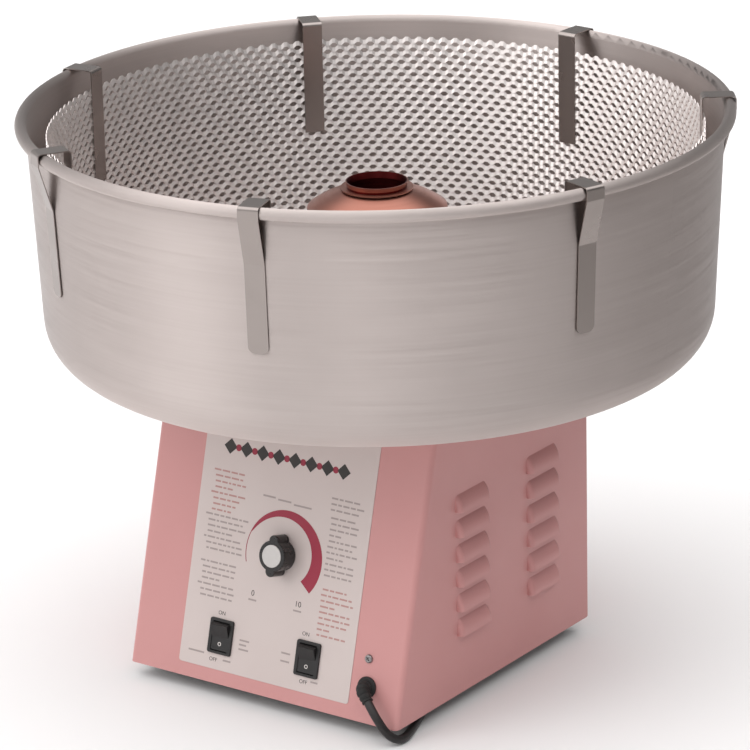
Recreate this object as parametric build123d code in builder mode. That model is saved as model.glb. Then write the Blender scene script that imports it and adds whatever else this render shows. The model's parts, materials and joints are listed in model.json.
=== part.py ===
"""Electric cotton candy machine: pink sheet-steel cabinet, 26 inch spun bowl, spinning copper head.

Millimetres. The origin is on the spin axis at table level, +Z is up and the control panel faces -Y.
"""
from build123d import *
import os
from math import cos, pi, radians, sin, sqrt, tan

os.makedirs("parts", exist_ok=True)

# ---------------------------------------------------------------- driving sizes
# cabinet
foot_height = 14.0
cabinet_width = 305.0
cabinet_height = 279.0
front_reach = 202.0  # spin axis to the bottom edge of the front
back_reach = 117.5  # spin axis to the outside of the rear cover
front_lean = 15.0  # degrees that the front leans back
sheet = 1.2  # painted steel sheet
bend_radius = 5.0
tray_depth = 18.0
plate_hole_radius = 20.0
cover_screw_inset = 16.0
fit_gap = 0.3  # between pieces that are pushed together
screw_radius = 2.0
screw_head_radius = 4.0
screw_head_height = 2.4
screw_reach = 8.0  # how far a screw goes past the face it starts from
post_screw_reach = 12.0

# louvres in both sides
louvre_length = 50.0
louvre_height = 16.0
louvre_depth = 6.5
louvre_pitch = 24.2
louvre_count = 6
louvre_first_top = 209.0
louvre_columns = (-78.0, 39.0)
louvre_end_radius = 5.0

# feet
foot_inset = 40.0
foot_radius = 11.0
foot_taper = 1.5
foot_screw_seat = 6.0
foot_screw_reach = 9.0  # how far the screw goes up past the base plate

# control panel, places are (across, up the slope) from the middle of the front's bottom edge
label_width = 193.0
label_height = 250.0
label_low_edge = 13.0
label_thickness = 0.5
label_corner = 3.0
control_spot = (5.0, 133.0)
power_spot = (-52.0, 44.5)
heat_spot = (47.0, 44.5)
gland_spot = (115.0, 33.0)
earth_spot = (113.0, 59.0)

# heat control and its knob
control_body = (44.0, 44.0, 26.0)
control_body_corner = 2.0
bushing_radius = 4.75
bushing_reach = 7.0
control_shaft_radius = 3.0
control_shaft_reach = 16.0
control_shaft_seat = 10.0  # how deep the shaft sits in the control
shaft_running_gap = 0.05
nut_across = 14.0
nut_thickness = 2.4
knob_radius = 14.5
knob_height = 17.0
knob_lift = 1.0  # clear of the label
knob_ear_span = 39.0
knob_ear_width = 10.5
knob_edge = 1.2
knob_cap_radius = 10.5
knob_cap_thickness = 1.0
knob_cap_seat = 0.7

# rocker switches
bezel = (26.5, 33.0, 2.0)
bezel_corner = 2.0
switch_body = (22.0, 30.0, 20.0)
cutout_gap = 0.2
rocker_width = 18.6
rocker_radius = 13.4
rocker_tilt = 24.0
rocker_gap = 0.6
rocker_pivot_depth = 3.5
rocker_crown = 3.0  # pivot to either half of the rocker's face
rocker_keel = 6.0
rocker_pin_radius = 1.5
rocker_pin_reach = 0.8

# bowl
pan_diameter = 660.4  # over the rolled rim
bowl_height = 232.0  # underside to the top of the rim
bowl_sheet = 1.2
bead_radius = 5.5
bead_end_angle = -120.0
bowl_taper = 2.7
bowl_corner = 45.0
bowl_hole_radius = 96.0
bowl_lip = 6.0
bowl_lip_bend = 3.0
gasket_radius = 106.0
gasket_width = 12.0
gasket_thickness = 3.0
spigot_gap = 1.0
spigot_wall = 1.5
spigot_height = 9.0

# mesh liner and the clips that hold it
liner_inset = 29.2  # rim to the middle of the mesh
liner_thickness = 1.0
liner_drop = 10.6  # rim bead centre to the top of the mesh
clip_angles = (3, 53, 110, 164, 211, 263, 313)  # degrees from the back, clockwise from above
clip_width = 19.0
clip_thickness = 0.9
clip_outer_leg = 130.0
clip_inner_leg = 104.0
clip_touch_drop = 48.0  # where the outer leg meets the bowl's wall
clip_bend = 3.0
clip_end_radius = 6.0

# spinner head
shaft_radius = 6.35
head_radius = 65.0
head_floor = 366.0
head_floor_thickness = 3.0
head_wall_height = 12.0
head_wall = 3.0
head_hub_radius = 14.0
head_hub_drop = 10.0
dome_edge = 432.0
dome_skirt = 8.0
dome_sphere = 112.0
dome_sheet = 1.5
dome_hole_radius = 28.8
collar_radius = 26.5
collar_flare = 1.2
collar_wall = 1.2
collar_top = 456.5
collar_spout = 12.0
collar_flange = 6.0
ribbon_radius = 56.0
ribbon_thickness = 1.0
ribbon_pleats = 48
ribbon_pleat_depth = 3.0
ribbon_below_dome = 2.0
post_count = 6
head_post_radius = 3.0
head_post_circle = 46.0
head_nut_across = 19.0
head_nut_height = 9.0

# motor
motor_radius = 48.0
motor_wall = 2.0
motor_low = 118.0
motor_length = 100.0
bell_thickness = 8.0
bell_lip = 2.0
bell_boss_wall = 4.0
mount_plate_radius = 68.0
mount_plate_thickness = 3.0
mount_circle = 57.0
mount_post_radius = 4.5
grommet_radius = 8.0
grommet_thickness = 2.5
stator_length = 60.0
stator_bore = 26.0
air_gap = 0.6
winding_width = 12.0
winding_height = 11.0
bearing_radius = 16.0
bearing_width = 10.0
fan_radius = 40.0
fan_height = 12.0
fan_blades = 8
fan_hub_radius = 12.0
fan_sheet = 1.5
fan_lift = 4.0
tie_bolt_circle = 42.0
tie_bolt_radius = 2.5

# slip rings and brushes
hub_radius = 13.0
ring_radius = 17.5
ring_width = 9.0
ring_spacing = 17.0
hub_height = 38.0
hub_lift = 8.0  # above the motor's mounting plate
brush_size = (16.0, 6.0, 7.0)
brush_gap = 0.3
brush_play = 0.15
holder_size = (34.0, 18.0, 42.0)
holder_gap = 2.5  # slip rings to the holder
holder_end_wall = 5.0
spring_wire = 0.9
spring_radius = 2.6

# mains lead
cord_diameter = 8.0
lead_first_run = 10.0
coil_turn_gap = 0.5
coil_centre = (-33.0, 224.0)
coil_first_radius = 52.0
coil_half_turns = 4  # in each layer
tail_run = 28.0  # straight, out over the coil's outer turn
tie_thickness = 0.8
tie_width = 10.0
relief_collar_radius = 10.0
relief_collar = 2.5
relief_radius = 7.0
relief_bend = 8.0
relief_taper_length = 8.0
relief_tip_radius = 5.2
relief_heading = Vector(0.71, -0.31, -0.63).normalized()  # the way the lead leaves it
relief_shank = 8.0
tie_gap = 0.7
plug_length = 36.0
plug_width = 27.0
plug_depth = 25.0
plug_relief = 12.0
plug_neck_radius = 7.5
plug_corner = 4.0
blade_length = 17.5
blade_spread = 12.7
blade_size = (6.3, 1.5)
earth_pin_radius = 2.4
earth_pin_drop = 11.9

# ---------------------------------------------------------------- places that follow
lean = radians(front_lean)
cabinet_top = foot_height + cabinet_height
shell_back = back_reach - sheet
panel = Plane(origin=(0, -front_reach, foot_height), x_dir=(1, 0, 0), z_dir=(0, -cos(lean), sin(lean)))
up_slope = panel.y_dir
outward = panel.z_dir

bowl_low = cabinet_top + gasket_thickness
rim_top = bowl_low + bowl_height
bead_height = rim_top - bead_radius
bead_place = pan_diameter / 2 - bead_radius
liner_radius = pan_diameter / 2 - liner_inset
head_centre_low = head_floor + head_floor_thickness
dome_centre = dome_edge - sqrt(dome_sphere**2 - head_radius**2)
motor_high = motor_low + motor_length
mount_plate_low = motor_high
mount_plate_high = mount_plate_low + mount_plate_thickness
hub_low = mount_plate_high + hub_lift
plate_underside = cabinet_top - sheet
cord_radius = cord_diameter / 2
stand = (Align.CENTER, Align.CENTER, Align.MIN)


def front_y(height):
    """Where the outside of the leaning front is at a height."""
    return -front_reach + (height - foot_height) * tan(lean)


def polar(centre, radius, angle):
    """The point at a radius and an angle in degrees from a centre, in a flat sketch."""
    return (centre[0] + radius * cos(radians(angle)), centre[1] + radius * sin(radians(angle)))


def panel_plane(spot, out=0.0):
    """A plane that faces out of the control panel at a spot, some distance off it."""
    return Plane(
        origin=panel.from_local_coords((spot[0], spot[1], out)), x_dir=(1, 0, 0), z_dir=outward
    )


def tube(inner, outer, low, high):
    """A plain ring about the spin axis."""
    with BuildPart() as ring:
        with BuildSketch(Plane.XY.offset(low)):
            Circle(outer)
            if inner > 0:
                Circle(inner, mode=Mode.SUBTRACT)
        extrude(amount=high - low)
    return ring


# ---------------------------------------------------------------- cabinet
def cabinet_block(inset, low, high, back, corner):
    """The cabinet's leaning block between two heights, drawn in by an inset."""
    slope_inset = inset / cos(lean)
    with BuildPart() as block:
        with BuildSketch(Plane.YZ):
            with BuildLine():
                Polyline(
                    (front_y(low) + slope_inset, low),
                    (back, low),
                    (back, high),
                    (front_y(high) + slope_inset, high),
                    close=True,
                )
            make_face()
        extrude(amount=cabinet_width / 2 - inset, both=True)
        fillet(block.edges().filter_by(Axis((0, 0, 0), up_slope)), corner)
    return block.part


def louvre_form(inset):
    """The bulge of one louvre in the right side, drawn in by an inset; its open end is underneath."""
    wall = cabinet_width / 2
    with BuildPart() as form:
        with BuildSketch(Plane.XZ):
            with BuildLine():
                top = (wall, -inset)
                lip = (wall + louvre_depth - inset, -louvre_height)
                crown = (wall + 0.66 * (louvre_depth - inset), -inset - 0.36 * (louvre_height - inset))
                ThreePointArc(top, crown, lip)
                Polyline(lip, (wall - sheet, -louvre_height), (wall - sheet, -inset), top)
            make_face()
        extrude(amount=louvre_length / 2 - inset, both=True)
        fillet(form.edges().filter_by(GeomType.CIRCLE), louvre_end_radius - inset)
    return form.part


louvre_spots = [
    (0, column, louvre_first_top - louvre_pitch * row)
    for column in louvre_columns
    for row in range(louvre_count)
]

with BuildPart() as louvre_hoods:
    with Locations(*louvre_spots):
        add(louvre_form(0))
    mirror(about=Plane.YZ)

with BuildPart() as louvre_throats:
    with Locations(*louvre_spots):
        add(louvre_form(sheet))
    mirror(about=Plane.YZ)

with BuildPart() as cabinet_shell:
    add(cabinet_block(0, foot_height, cabinet_top, shell_back, bend_radius))
    add(
        cabinet_block(sheet, foot_height - 1, cabinet_top + 1, shell_back + 1, bend_radius - sheet),
        mode=Mode.SUBTRACT,
    )
    add(louvre_hoods.part)
    add(louvre_throats.part, mode=Mode.SUBTRACT)
    with BuildSketch(panel):
        with Locations(power_spot, heat_spot):
            Rectangle(switch_body[0] + 2 * cutout_gap, switch_body[1] + 2 * cutout_gap)
        with Locations(control_spot):
            Circle(bushing_radius + cutout_gap)
        with Locations(gland_spot):
            Circle(relief_radius + cutout_gap)
        with Locations(earth_spot):
            Circle(screw_radius + cutout_gap)
    extrude(amount=2 * sheet, both=True, mode=Mode.SUBTRACT)

tray_inset = sheet + fit_gap
tray_back = shell_back - fit_gap
tray_corner = bend_radius - tray_inset
post_spots = [polar((0, 0), mount_circle, 45 + 90 * number) for number in range(4)]
foot_spots = [
    (side * (cabinet_width / 2 - foot_inset), depth)
    for side in (-1, 1)
    for depth in (-front_reach + foot_inset, back_reach - foot_inset)
]

cover_screw_rows = (foot_height + tray_depth / 2, cabinet_top - tray_depth / 2)
cover_screw_spots = [
    (side * (cabinet_width / 2 - cover_screw_inset), height)
    for side in (-1, 0, 1)
    for height in cover_screw_rows
]

with BuildPart() as top_plate:
    add(cabinet_block(tray_inset, cabinet_top - tray_depth, cabinet_top, tray_back, tray_corner))
    add(
        cabinet_block(
            tray_inset + sheet,
            cabinet_top - tray_depth - 1,
            plate_underside,
            tray_back - sheet,
            tray_corner - sheet,
        ),
        mode=Mode.SUBTRACT,
    )
    with BuildSketch(Plane.XY.offset(cabinet_top)):
        Circle(plate_hole_radius)
        with Locations(*post_spots):
            Circle(screw_radius + cutout_gap)
    extrude(amount=-2 * sheet, mode=Mode.SUBTRACT)
    with BuildSketch(Plane.XZ.offset(-tray_back)):
        with Locations(*cover_screw_spots):
            Circle(screw_radius)
    extrude(amount=2 * sheet, mode=Mode.SUBTRACT)

with BuildPart() as base_plate:
    add(cabinet_block(tray_inset, foot_height, foot_height + tray_depth, tray_back, tray_corner))
    add(
        cabinet_block(
            tray_inset + sheet,
            foot_height + sheet,
            foot_height + tray_depth + 1,
            tray_back - sheet,
            tray_corner - sheet,
        ),
        mode=Mode.SUBTRACT,
    )
    with BuildSketch(Plane.XY.offset(foot_height)):
        with Locations(*foot_spots):
            Circle(screw_radius + cutout_gap)
    extrude(amount=2 * sheet, mode=Mode.SUBTRACT)
    with BuildSketch(Plane.XZ.offset(-tray_back)):
        with Locations(*cover_screw_spots):
            Circle(screw_radius)
    extrude(amount=2 * sheet, mode=Mode.SUBTRACT)

with BuildPart() as rear_cover:
    with BuildSketch(Plane.XZ.offset(-shell_back)):
        with Locations((0, foot_height + cabinet_height / 2)):
            RectangleRounded(cabinet_width, cabinet_height, sheet)
        with Locations(*cover_screw_spots):
            Circle(screw_radius + cutout_gap, mode=Mode.SUBTRACT)
    extrude(amount=-sheet)


def pan_screws(plane, spots, reach):
    """Pan-head screws on a plane: domed heads outside it and shanks that reach in behind it."""
    with BuildPart() as screws:
        with BuildSketch(plane):
            with Locations(*spots):
                Circle(screw_head_radius)
        extrude(amount=screw_head_height)
        fillet(screws.edges().group_by(Axis(plane.origin, plane.z_dir))[-1], screw_head_height / 2)
        with BuildSketch(plane):
            with Locations(*spots):
                Circle(screw_radius)
        extrude(amount=-reach)
    return screws


rear_plane = Plane(origin=(0, back_reach, 0), x_dir=(1, 0, 0), z_dir=(0, 1, 0))
cover_holes = [(across, -height) for across, height in cover_screw_spots]
rear_cover_screws = pan_screws(rear_plane, cover_holes, screw_reach)
earth_screw = pan_screws(panel_plane(earth_spot), [(0, 0)], screw_reach)
post_screws = pan_screws(Plane.XY.offset(cabinet_top), post_spots, post_screw_reach)

with BuildPart() as rubber_feet:
    with Locations(*[(x, y, 0) for x, y in foot_spots]):
        Cone(foot_radius - foot_taper, foot_radius, foot_height, align=stand)
        Cylinder(screw_head_radius + 1, foot_screw_seat, align=stand, mode=Mode.SUBTRACT)
        Cylinder(screw_radius + cutout_gap, foot_height, align=stand, mode=Mode.SUBTRACT)

with BuildPart() as foot_screws:
    foot_screw_low = foot_screw_seat - screw_head_height
    with Locations(*[(x, y, foot_screw_low) for x, y in foot_spots]):
        Cylinder(screw_head_radius, screw_head_height, align=stand)
        Cylinder(screw_radius, foot_height + foot_screw_reach - foot_screw_low, align=stand)

# ---------------------------------------------------------------- control panel
switch_cutout = (switch_body[0] + 2 * cutout_gap, switch_body[1] + 2 * cutout_gap)

with BuildPart() as control_label:
    with BuildSketch(panel):
        with Locations((0, label_low_edge + label_height / 2)):
            RectangleRounded(label_width, label_height, label_corner)
        with Locations(power_spot, heat_spot):
            Rectangle(*switch_cutout, mode=Mode.SUBTRACT)
        with Locations(control_spot):
            Circle(bushing_radius + cutout_gap, mode=Mode.SUBTRACT)
    extrude(amount=label_thickness)

with BuildPart() as heat_control_body:
    with BuildSketch(panel_plane(control_spot, -sheet)):
        RectangleRounded(control_body[0], control_body[1], control_body_corner)
    extrude(amount=-control_body[2])
    with BuildSketch(panel_plane(control_spot, -sheet)):
        Circle(bushing_radius)
    extrude(amount=sheet + bushing_reach)
    with BuildSketch(panel_plane(control_spot, bushing_reach)):
        Circle(control_shaft_radius + shaft_running_gap)
    extrude(amount=-(bushing_reach + sheet + control_shaft_seat), mode=Mode.SUBTRACT)

with BuildPart() as control_nut:
    with BuildSketch(panel_plane(control_spot, label_thickness)):
        RegularPolygon(nut_across / 2, 6, major_radius=False)
        Circle(bushing_radius, mode=Mode.SUBTRACT)
    extrude(amount=nut_thickness)

with BuildPart() as control_shaft:
    with BuildSketch(panel_plane(control_spot, control_shaft_reach)):
        Circle(control_shaft_radius)
    extrude(amount=-(control_shaft_reach + sheet + control_shaft_seat - 1))

knob_low = label_thickness + knob_lift
knob_high = knob_low + knob_height
knob_recess = bushing_reach + knob_lift
nut_corner = nut_across / 2 / cos(radians(30))

with BuildPart() as heat_knob:
    with BuildSketch(panel_plane(control_spot, knob_low)):
        Circle(knob_radius)
        SlotOverall(knob_ear_span, knob_ear_width, rotation=90)
    extrude(amount=knob_height)
    fillet(heat_knob.edges().group_by(Axis(panel.origin, outward))[-1], knob_edge)
    with BuildSketch(panel_plane(control_spot, knob_high)):
        Circle(knob_cap_radius + cutout_gap)
    extrude(amount=-knob_cap_seat, mode=Mode.SUBTRACT)
    with BuildSketch(panel_plane(control_spot, knob_low)):
        Circle(nut_corner + knob_lift)
    extrude(amount=knob_recess - knob_low, mode=Mode.SUBTRACT)
    with BuildSketch(panel_plane(control_spot, knob_low)):
        Circle(control_shaft_radius)
    extrude(amount=control_shaft_reach - knob_low, mode=Mode.SUBTRACT)

with BuildPart() as knob_cap:
    with BuildSketch(panel_plane(control_spot, knob_high - knob_cap_seat)):
        Circle(knob_cap_radius)
    extrude(amount=knob_cap_thickness)
    fillet(knob_cap.edges().group_by(Axis(panel.origin, outward))[-1], knob_cap_thickness / 3)

pivot_out = label_thickness + bezel[2] - rocker_pivot_depth
rocker_pin_end = rocker_width / 2 + rocker_gap / 2 + rocker_pin_reach


def switch_housing(spot):
    """A rocker switch's bezel and body, with the pocket that its rocker tips in."""
    pocket_width = rocker_width + rocker_gap
    with BuildPart() as housing:
        with BuildSketch(panel_plane(spot, label_thickness)):
            RectangleRounded(bezel[0], bezel[1], bezel_corner)
        extrude(amount=bezel[2])
        fillet(housing.edges().group_by(Axis(panel.origin, outward))[-1], bezel[2] / 3)
        with BuildSketch(panel_plane(spot, label_thickness)):
            Rectangle(switch_body[0], switch_body[1])
        extrude(amount=-switch_body[2])
        with BuildSketch(panel_plane(spot, label_thickness + bezel[2])):
            Rectangle(pocket_width, 2 * (rocker_radius + rocker_gap))
        extrude(amount=-(rocker_pivot_depth + rocker_radius), mode=Mode.SUBTRACT)
        with BuildSketch(rocker_side(spot)):
            Circle(rocker_pin_radius + shaft_running_gap)
        extrude(amount=rocker_pin_end + fit_gap, both=True, mode=Mode.SUBTRACT)
    return housing


def rocker_side(spot):
    """The plane across a rocker at its pivot: its own X runs up the slope and its Y out of the panel."""
    return Plane(
        origin=panel.from_local_coords((spot[0], spot[1], pivot_out)), x_dir=up_slope, z_dir=(1, 0, 0)
    )


def rocker(spot):
    """A rocker at rest, tipped so that its lower half lies flat and its upper half stands proud."""
    reach = rocker_radius + 2
    tilt = radians(rocker_tilt)
    waist = -rocker_crown * tan(tilt / 2)
    with BuildPart() as tip:
        with BuildSketch(rocker_side(spot)):
            Circle(rocker_radius)
            with BuildLine():
                Polyline(
                    (-reach, -rocker_keel),
                    (reach, -rocker_keel),
                    (reach, rocker_crown + (reach - waist) * tan(tilt)),
                    (waist, rocker_crown),
                    (-reach, rocker_crown),
                    close=True,
                )
            make_face(mode=Mode.INTERSECT)
        extrude(amount=rocker_width / 2, both=True)
        with BuildSketch(rocker_side(spot)):
            Circle(rocker_pin_radius)
        extrude(amount=rocker_pin_end, both=True)
    return tip


power_switch_housing = switch_housing(power_spot)
heat_switch_housing = switch_housing(heat_spot)
power_rocker = rocker(power_spot)
heat_rocker = rocker(heat_spot)

# ---------------------------------------------------------------- bowl
with BuildPart() as bowl_gasket:
    add(tube(gasket_radius - gasket_width / 2, gasket_radius + gasket_width / 2, cabinet_top, bowl_low).part)

spigot_radius = bowl_hole_radius - spigot_gap
with BuildPart() as bowl_spigot:
    add(tube(spigot_radius - spigot_wall, spigot_radius, cabinet_top, cabinet_top + spigot_height).part)

taper = radians(bowl_taper)
bead_centre = (bead_place, bead_height)
bead_start_angle = 180 - bowl_taper
wall_top = polar(bead_centre, bead_radius - bowl_sheet, bead_start_angle)  # outside of the wall
wall_offset = wall_top[0] * cos(taper) - wall_top[1] * sin(taper) - bowl_corner
corner_centre = (
    (wall_offset + (bowl_low + bowl_corner) * sin(taper)) / cos(taper),
    bowl_low + bowl_corner,
)
corner_mid_angle = -(90 + bowl_taper) / 2
bead_mid_angle = (bead_start_angle + bead_end_angle) / 2


def wall_radius(height):
    """The outside radius of the bowl's tapered wall at a height."""
    return wall_top[0] - (wall_top[1] - height) * tan(taper)


def round_bend(centre, radius, *angles):
    """An arc of the bowl's section about a centre, from the first angle to the last."""
    ThreePointArc(*[polar(centre, radius, angle) for angle in angles])


hole_bend = (bowl_hole_radius + bowl_lip_bend, bowl_low + bowl_lip_bend)
hole_inner_bend = bowl_lip_bend - bowl_sheet
inner_corner = bowl_corner - bowl_sheet
inner_bead = bead_radius - bowl_sheet

with BuildPart() as floss_bowl:
    with BuildSketch(Plane.XZ):
        with BuildLine():
            Polyline(
                polar(hole_bend, hole_inner_bend, 180),
                (bowl_hole_radius + bowl_sheet, bowl_low + bowl_lip),
                (bowl_hole_radius, bowl_low + bowl_lip),
                polar(hole_bend, bowl_lip_bend, 180),
            )
            round_bend(hole_bend, bowl_lip_bend, 180, 225, 270)
            Line(polar(hole_bend, bowl_lip_bend, 270), polar(corner_centre, bowl_corner, -90))
            round_bend(corner_centre, bowl_corner, -90, corner_mid_angle, -bowl_taper)
            Line(polar(corner_centre, bowl_corner, -bowl_taper), wall_top)
            round_bend(bead_centre, inner_bead, bead_start_angle, bead_mid_angle, bead_end_angle)
            Line(
                polar(bead_centre, inner_bead, bead_end_angle),
                polar(bead_centre, bead_radius, bead_end_angle),
            )
            round_bend(bead_centre, bead_radius, bead_end_angle, bead_mid_angle, bead_start_angle)
            Line(
                polar(bead_centre, bead_radius, bead_start_angle),
                polar(corner_centre, inner_corner, -bowl_taper),
            )
            round_bend(corner_centre, inner_corner, -bowl_taper, corner_mid_angle, -90)
            Line(polar(corner_centre, inner_corner, -90), polar(hole_bend, hole_inner_bend, 270))
            round_bend(hole_bend, hole_inner_bend, 270, 225, 180)
        make_face()
    revolve(axis=Axis.Z)

liner_reach = liner_radius + liner_thickness / 2 + fit_gap - corner_centre[0]
liner_low = corner_centre[1] - sqrt(inner_corner**2 - liner_reach**2)
liner_high = bead_height - liner_drop
liner_inside = liner_radius - liner_thickness / 2
mesh_liner = tube(liner_inside, liner_inside + liner_thickness, liner_low, liner_high)

strip = clip_thickness / 2 + fit_gap
clip_top = rim_top + strip
clip_outside = pan_diameter / 2 + strip
clip_inside = liner_inside - strip
touch_height = bead_height - clip_touch_drop
outer_end = bead_height - clip_outer_leg
clip_route = [
    (wall_radius(outer_end) + strip, 0, outer_end),
    (wall_radius(touch_height) + strip, 0, touch_height),
    (clip_outside, 0, bead_height - bead_radius),
    (clip_outside, 0, clip_top),
    (clip_inside, 0, clip_top),
    (clip_inside, 0, bead_height - clip_inner_leg),
]

with BuildPart() as rim_clip:
    with BuildLine():
        clip_path = FilletPolyline(*clip_route, radius=clip_bend)
    with BuildSketch(Plane(origin=clip_path @ 0, x_dir=(0, 1, 0), z_dir=clip_path % 0)):
        Rectangle(clip_width, clip_thickness)
    sweep()
    leg_corners = rim_clip.edges().filter_by(lambda edge: abs(edge.length - clip_thickness) < 0.01)
    fillet(leg_corners.sort_by(Axis.Z)[:2], clip_end_radius)

with BuildPart() as rim_clips:
    with Locations(*[Rotation(0, 0, 90 - angle) for angle in clip_angles]):
        add(rim_clip.part)

# ---------------------------------------------------------------- spinner head
def dome_height(radius, inset=0.0):
    """The height of the copper dome at a radius, some way in from its outside."""
    return dome_centre + sqrt((dome_sphere - inset) ** 2 - radius**2)


shaft_low = motor_low - fan_height - 2 * fan_lift
shaft_high = head_centre_low + head_nut_height + fan_lift
motor_shaft = tube(0, shaft_radius, shaft_low, shaft_high)

with BuildPart() as head_base:
    with BuildSketch(Plane.XZ):
        with BuildLine():
            base_edge = head_radius - dome_sheet
            Polyline(
                (shaft_radius, head_floor - head_hub_drop),
                (head_hub_radius, head_floor - head_hub_drop),
                (head_hub_radius, head_floor),
                (base_edge, head_floor),
                (base_edge, head_floor + head_wall_height),
                (base_edge - head_wall, head_floor + head_wall_height),
                (base_edge - head_wall, head_centre_low),
                (shaft_radius, head_centre_low),
                close=True,
            )
        make_face()
    revolve(axis=Axis.Z)

with BuildPart() as head_nut:
    with BuildSketch(Plane.XY.offset(head_centre_low)):
        RegularPolygon(head_nut_across / 2, 6, major_radius=False)
        Circle(shaft_radius, mode=Mode.SUBTRACT)
    extrude(amount=head_nut_height)


def pleated_ring(radius):
    """The corners of a pleated ring, out and in by turns."""
    pleat = 180 / ribbon_pleats
    return [
        polar((0, 0), radius + (-1) ** corner * ribbon_pleat_depth / 2, corner * pleat)
        for corner in range(2 * ribbon_pleats)
    ]


with BuildPart() as heater_ribbon:
    with BuildSketch(Plane.XY.offset(head_centre_low + fit_gap)):
        with BuildLine():
            Polyline(*pleated_ring(ribbon_radius + ribbon_thickness / 2), close=True)
        make_face()
        with BuildLine():
            Polyline(*pleated_ring(ribbon_radius - ribbon_thickness / 2), close=True)
        make_face(mode=Mode.SUBTRACT)
    extrude(amount=dome_edge - ribbon_below_dome - head_centre_low)

post_top = dome_height(head_post_circle + head_post_radius, dome_sheet) - fit_gap
with BuildPart() as head_posts:
    with BuildSketch(Plane.XY.offset(head_centre_low)):
        with PolarLocations(head_post_circle, post_count):
            Circle(head_post_radius)
    extrude(amount=post_top - head_centre_low)

with BuildPart() as head_cap:
    with BuildSketch(Plane.XZ):
        with BuildLine():
            inner_edge = head_radius - dome_sheet
            dome_span = (dome_hole_radius + head_radius) / 2
            inner_span = (dome_hole_radius + inner_edge) / 2
            Polyline(
                (inner_edge, dome_height(inner_edge, dome_sheet)),
                (inner_edge, dome_edge - dome_skirt),
                (head_radius, dome_edge - dome_skirt),
                (head_radius, dome_edge),
            )
            ThreePointArc(
                (head_radius, dome_edge),
                (dome_span, dome_height(dome_span)),
                (dome_hole_radius, dome_height(dome_hole_radius)),
            )
            Line(
                (dome_hole_radius, dome_height(dome_hole_radius)),
                (dome_hole_radius, dome_height(dome_hole_radius, dome_sheet)),
            )
            ThreePointArc(
                (dome_hole_radius, dome_height(dome_hole_radius, dome_sheet)),
                (inner_span, dome_height(inner_span, dome_sheet)),
                (inner_edge, dome_height(inner_edge, dome_sheet)),
            )
        make_face()
    revolve(axis=Axis.Z)
    fillet(head_cap.edges().filter_by(lambda edge: abs(edge.center().Z - dome_edge) < 0.01), dome_sheet)

collar_foot = dome_height(dome_hole_radius) + fit_gap
with BuildPart() as sugar_collar:
    with BuildSketch(Plane.XZ):
        with BuildLine():
            outside = collar_radius + collar_wall
            flare = collar_radius + collar_flare
            Polyline(
                (collar_radius, collar_foot - collar_spout),
                (outside, collar_foot - collar_spout),
                (outside, collar_foot),
                (outside + collar_flange, collar_foot),
                (outside + collar_flange, collar_foot + collar_wall),
                (outside, collar_foot + collar_wall),
                (flare + collar_wall, collar_top),
                (flare, collar_top),
                (collar_radius, collar_foot + collar_wall),
                close=True,
            )
        make_face()
    revolve(axis=Axis.Z)

# ---------------------------------------------------------------- motor
top_face = Plane.XY.offset(motor_high)
bottom_face = Plane(origin=(0, 0, motor_low), x_dir=(1, 0, 0), z_dir=(0, 0, -1))
can_bore = motor_radius - motor_wall
bearing_seat = bell_lip + bearing_width


def end_bell(face):
    """An end bell whose outer face lies in a plane that looks out of the motor."""
    with BuildPart() as bell:
        with BuildSketch(face):
            Circle(can_bore)
        extrude(amount=-bell_thickness)
        with BuildSketch(face):
            Circle(bearing_radius + bell_boss_wall)
        extrude(amount=-bearing_seat)
        with BuildSketch(face):
            Circle(shaft_radius + 1)
            with PolarLocations(tie_bolt_circle, 4):
                Circle(tie_bolt_radius)
        extrude(amount=-bearing_seat, mode=Mode.SUBTRACT)
        with BuildSketch(face.offset(-bell_lip)):
            Circle(bearing_radius)
        extrude(amount=-bearing_seat, mode=Mode.SUBTRACT)
    return bell


def bearing(face):
    """A shaft bearing in an end bell's seat."""
    with BuildPart() as race:
        with BuildSketch(face.offset(-bell_lip)):
            Circle(bearing_radius)
            Circle(shaft_radius + shaft_running_gap, mode=Mode.SUBTRACT)
        extrude(amount=-bearing_width)
    return race


motor_can = tube(can_bore, motor_radius, motor_low, motor_high)
end_bell_top = end_bell(top_face)
end_bell_bottom = end_bell(bottom_face)
upper_bearing = bearing(top_face)
lower_bearing = bearing(bottom_face)

stator_low = (motor_low + motor_high - stator_length) / 2
stator_high = stator_low + stator_length
with BuildPart() as stator_core:
    with BuildSketch(Plane.XY.offset(stator_low)):
        Circle(can_bore)
        Circle(stator_bore, mode=Mode.SUBTRACT)
        with PolarLocations(tie_bolt_circle, 4):
            Circle(tie_bolt_radius, mode=Mode.SUBTRACT)
    extrude(amount=stator_length)

with BuildPart() as stator_windings:
    for low in (stator_low - winding_height, stator_high):
        with BuildSketch(Plane.XY.offset(low)):
            Circle(stator_bore + 1 + winding_width)
            Circle(stator_bore + 1, mode=Mode.SUBTRACT)
        extrude(amount=winding_height)

rotor_core = tube(shaft_radius, stator_bore - air_gap, stator_low, stator_high)

with BuildPart() as motor_tie_bolts:
    with BuildSketch(bottom_face):
        with PolarLocations(tie_bolt_circle, 4):
            Circle(screw_head_radius)
    extrude(amount=screw_head_height)
    with BuildSketch(bottom_face):
        with PolarLocations(tie_bolt_circle, 4):
            Circle(tie_bolt_radius)
    extrude(amount=-motor_length)

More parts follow.
